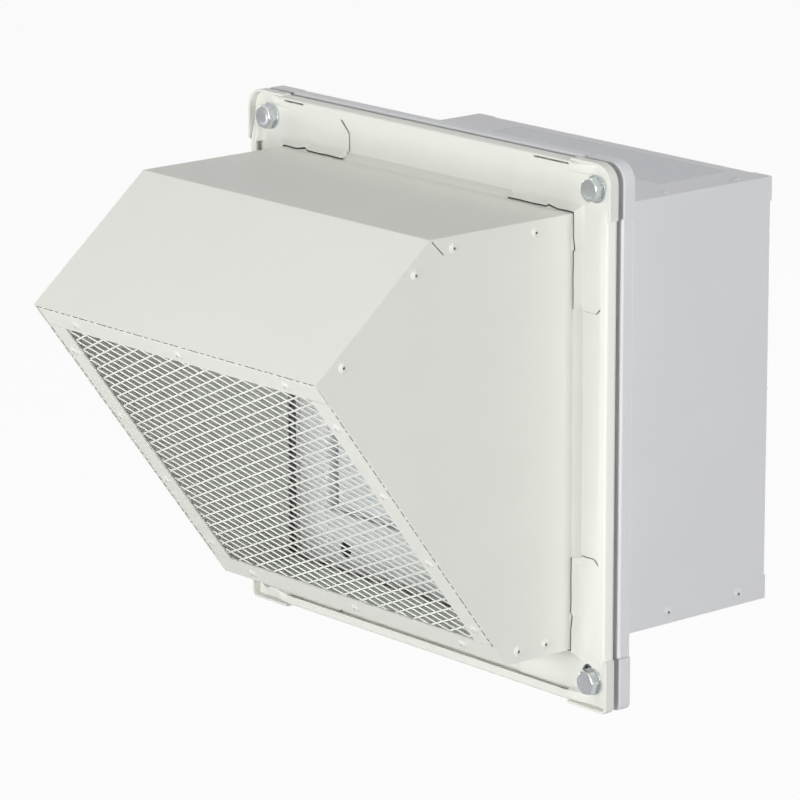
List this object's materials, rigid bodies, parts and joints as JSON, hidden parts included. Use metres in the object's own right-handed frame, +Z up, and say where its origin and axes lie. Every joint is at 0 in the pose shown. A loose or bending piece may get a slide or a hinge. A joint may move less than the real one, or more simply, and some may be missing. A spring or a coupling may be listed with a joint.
{
  "type": "wall-mounted axial fan",
  "caption": "Square wall-sleeve axial fan with a sloped weather hood, bird mesh, bolted flanges, gravity damper blades and an external-rotor motor behind an inlet guard.",
  "frame": {"origin": "middle of the four wall studs, in the plane of the casing flange's rear face, which lies against the outside of the wall", "axes": "+Y along the studs and the sleeve, into the wall; -Y out to the weather hood; +X to the right seen from outside; +Z up"},
  "size_m": [0.32, 0.3475, 0.32],
  "materials": {
    "white_powder_coat": "white powder coat, satin",
    "white_mesh": "white powder coat on expanded metal",
    "white_rivets": "white painted blind rivets",
    "zinc_plated_steel": "bright zinc plating",
    "gasket_rubber": "closed-cell rubber tape",
    "galvanised_sheet": "pale coated sheet steel",
    "blade_aluminium": "mill-finish aluminium",
    "black_paint": "black electro-coat, satin",
    "bearing_steel": "ground steel",
    "cast_aluminium": "die-cast aluminium",
    "lamination_steel": "stacked laminations",
    "winding_copper": "varnished copper wire",
    "black_nylon": "moulded nylon",
    "grey_plastic": "moulded ABS",
    "lead_sheath": "PVC sheath"
  },
  "bodies": {
    "housing": {"casing_top_panel": "white_powder_coat", "casing_right_panel": "white_powder_coat", "casing_bottom_panel": "white_powder_coat", "casing_left_panel": "white_powder_coat", "casing_corner_plates": "white_powder_coat", "hood_canopy": "white_powder_coat", "hood_bottom_panel": "white_powder_coat", "hood_right_side": "white_powder_coat", "hood_left_side": "white_powder_coat", "hood_corner_plates": "white_powder_coat", "mesh_strip_right": "white_powder_coat", "mesh_strip_left": "white_powder_coat", "mesh_strip_top": "white_powder_coat", "bird_mesh": "white_mesh", "casing_rivets": "white_rivets", "hood_rivets": "white_rivets", "mesh_rivets": "white_rivets", "damper_rivets": "white_rivets", "flange_bolts": "zinc_plated_steel", "flange_washers": "zinc_plated_steel", "flange_nuts": "zinc_plated_steel", "motor_screws": "zinc_plated_steel", "guard_screws": "zinc_plated_steel", "lid_screws": "zinc_plated_steel", "damper_rods": "zinc_plated_steel", "flange_gasket": "gasket_rubber", "damper_frame_top": "galvanised_sheet", "damper_frame_right": "galvanised_sheet", "damper_frame_bottom": "galvanised_sheet", "damper_frame_left": "galvanised_sheet", "fan_panel": "galvanised_sheet", "fan_panel_angles": "galvanised_sheet", "bell_mouth": "galvanised_sheet", "fan_ring": "galvanised_sheet", "motor_arms": "black_paint", "inlet_guard": "black_paint", "motor_bearings": "bearing_steel", "stator_base": "cast_aluminium", "stator_core": "lamination_steel", "stator_windings": "winding_copper", "guard_clips": "black_nylon", "terminal_box": "grey_plastic", "terminal_box_lid": "grey_plastic", "cable_gland": "grey_plastic", "motor_lead": "lead_sheath"},
    "rotor": {"impeller_hub": "black_paint", "impeller_blades": "black_paint", "rotor_shell": "black_paint", "motor_shaft": "bearing_steel"},
    "top_blade": {"damper_blade_top": "blade_aluminium"},
    "middle_blade": {"damper_blade_middle": "blade_aluminium"},
    "bottom_blade": {"damper_blade_bottom": "blade_aluminium"}
  },
  "joints": [
    {"name": "fan_spin", "type": "hinge", "parent": "housing", "child": "rotor", "pos_m": [0, 0.054, 0], "axis": [0, 1, 0], "continuous": true},
    {"name": "top_blade_swing", "type": "hinge", "parent": "housing", "child": "top_blade", "pos_m": [0, 0.0015, 0.08902], "axis": [-1, 0, 0], "range_deg": [0, 75]},
    {"name": "middle_blade_swing", "type": "hinge", "parent": "housing", "child": "middle_blade", "pos_m": [0, 0.0015, 0.02689], "axis": [-1, 0, 0], "range_deg": [0, 75]},
    {"name": "bottom_blade_swing", "type": "hinge", "parent": "housing", "child": "bottom_blade", "pos_m": [0, 0.0015, -0.03525], "axis": [-1, 0, 0], "range_deg": [0, 75]}
  ]
}
